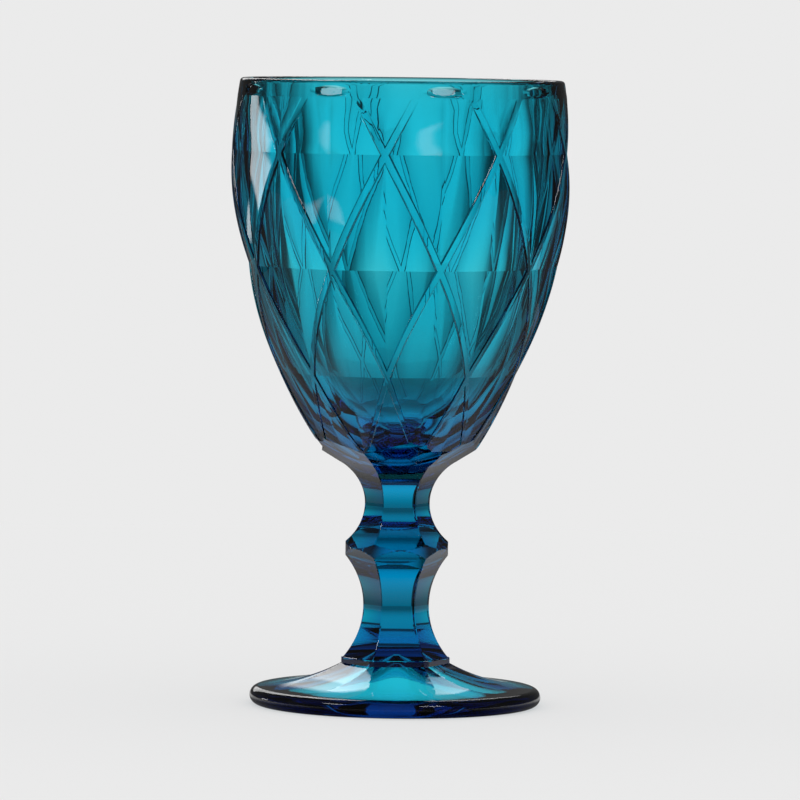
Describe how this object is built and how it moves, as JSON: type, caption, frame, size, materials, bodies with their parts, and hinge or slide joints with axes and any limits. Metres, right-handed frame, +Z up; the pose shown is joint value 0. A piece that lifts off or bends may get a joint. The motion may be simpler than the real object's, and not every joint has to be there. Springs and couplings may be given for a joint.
{
  "type": "glass goblet",
  "caption": "Stemmed drinking goblet of blue-green pressed glass: bowl with a raised diamond lattice, faceted stem with a knop, and a fluted round foot.",
  "frame": {"origin": "centre of the ring that the foot stands on, at the level of the table", "axes": "+Z up along the axis of the glass; -Y is the side that the picture shows"},
  "size_m": [0.0887, 0.0888, 0.165],
  "materials": {
    "glass": "clear blue-green glass coloured all through, fire-polished and smooth"
  },
  "bodies": {
    "root": {"bowl": "glass", "upper_stem": "glass", "knop": "glass", "lower_stem": "glass", "foot": "glass"}
  },
  "joints": []
}
